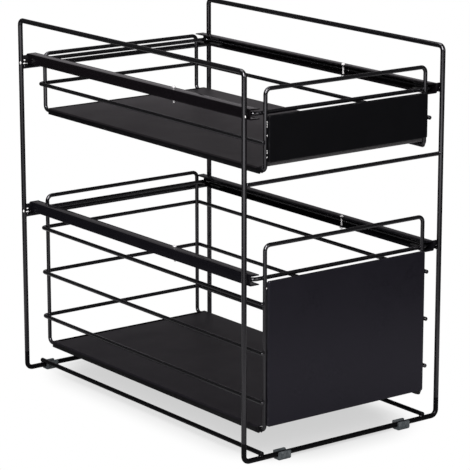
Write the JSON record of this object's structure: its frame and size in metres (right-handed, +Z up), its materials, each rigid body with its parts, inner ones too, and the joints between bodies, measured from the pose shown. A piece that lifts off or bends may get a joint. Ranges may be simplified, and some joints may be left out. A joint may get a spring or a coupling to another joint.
{
  "type": "cabinet organizer",
  "caption": "Two-tier pull-out cabinet organizer: a black wire frame with channel rails for a shallow upper and a deep lower sliding basket drawer, each with a sheet floor and front panel.",
  "frame": {"origin": "centre of the overall box, on the floor under the feet, with both drawers closed", "axes": "+X to the organizer's right seen from the front, +Y to the back, +Z up; the drawers slide out towards -Y"},
  "size_m": [0.2634, 0.4222, 0.4083],
  "materials": {
    "black_powder_coat": "semi-gloss black powder coat with a fine orange peel",
    "zinc_plated_steel": "bright zinc plate on the stop screws and nuts",
    "black_nylon": "satin black nylon",
    "grey_rubber": "matte dark grey rubber"
  },
  "bodies": {
    "frame": {"left_side_hoop": "black_powder_coat", "right_side_hoop": "black_powder_coat", "front_base_bar": "black_powder_coat", "rear_base_bar": "black_powder_coat", "left_base_wire": "black_powder_coat", "right_base_wire": "black_powder_coat", "front_crossbar": "black_powder_coat", "upper_rear_crossbar": "black_powder_coat", "lower_rear_crossbar": "black_powder_coat", "upper_left_rail": "black_powder_coat", "upper_right_rail": "black_powder_coat", "lower_left_rail": "black_powder_coat", "lower_right_rail": "black_powder_coat", "upper_left_stop_screw": "zinc_plated_steel", "upper_left_stop_nut": "zinc_plated_steel", "upper_right_stop_screw": "zinc_plated_steel", "upper_right_stop_nut": "zinc_plated_steel", "lower_left_stop_screw": "zinc_plated_steel", "lower_left_stop_nut": "zinc_plated_steel", "lower_right_stop_screw": "zinc_plated_steel", "lower_right_stop_nut": "zinc_plated_steel", "upper_left_rail_glide": "black_nylon", "upper_right_rail_glide": "black_nylon", "lower_left_rail_glide": "black_nylon", "lower_right_rail_glide": "black_nylon", "front_left_foot": "grey_rubber", "front_right_foot": "grey_rubber", "rear_left_foot": "grey_rubber", "rear_right_foot": "grey_rubber"},
    "upper_drawer": {"upper_wire_loop": "black_powder_coat", "upper_slide_ring": "black_powder_coat", "upper_side_wire": "black_powder_coat", "upper_floor_pan": "black_powder_coat", "upper_front_panel": "black_powder_coat", "upper_left_ring_glide": "black_nylon", "upper_right_ring_glide": "black_nylon"},
    "lower_drawer": {"lower_wire_loop": "black_powder_coat", "lower_slide_ring": "black_powder_coat", "lower_top_side_wire": "black_powder_coat", "lower_middle_side_wire": "black_powder_coat", "lower_bottom_side_wire": "black_powder_coat", "lower_floor_pan": "black_powder_coat", "lower_front_panel": "black_powder_coat", "lower_left_ring_glide": "black_nylon", "lower_right_ring_glide": "black_nylon"}
  },
  "joints": [
    {"name": "upper_drawer_slide", "type": "slide", "parent": "frame", "child": "upper_drawer", "axis": [0, -1, 0], "range_m": [0, 0.249]},
    {"name": "lower_drawer_slide", "type": "slide", "parent": "frame", "child": "lower_drawer", "axis": [0, -1, 0], "range_m": [0, 0.249]}
  ]
}
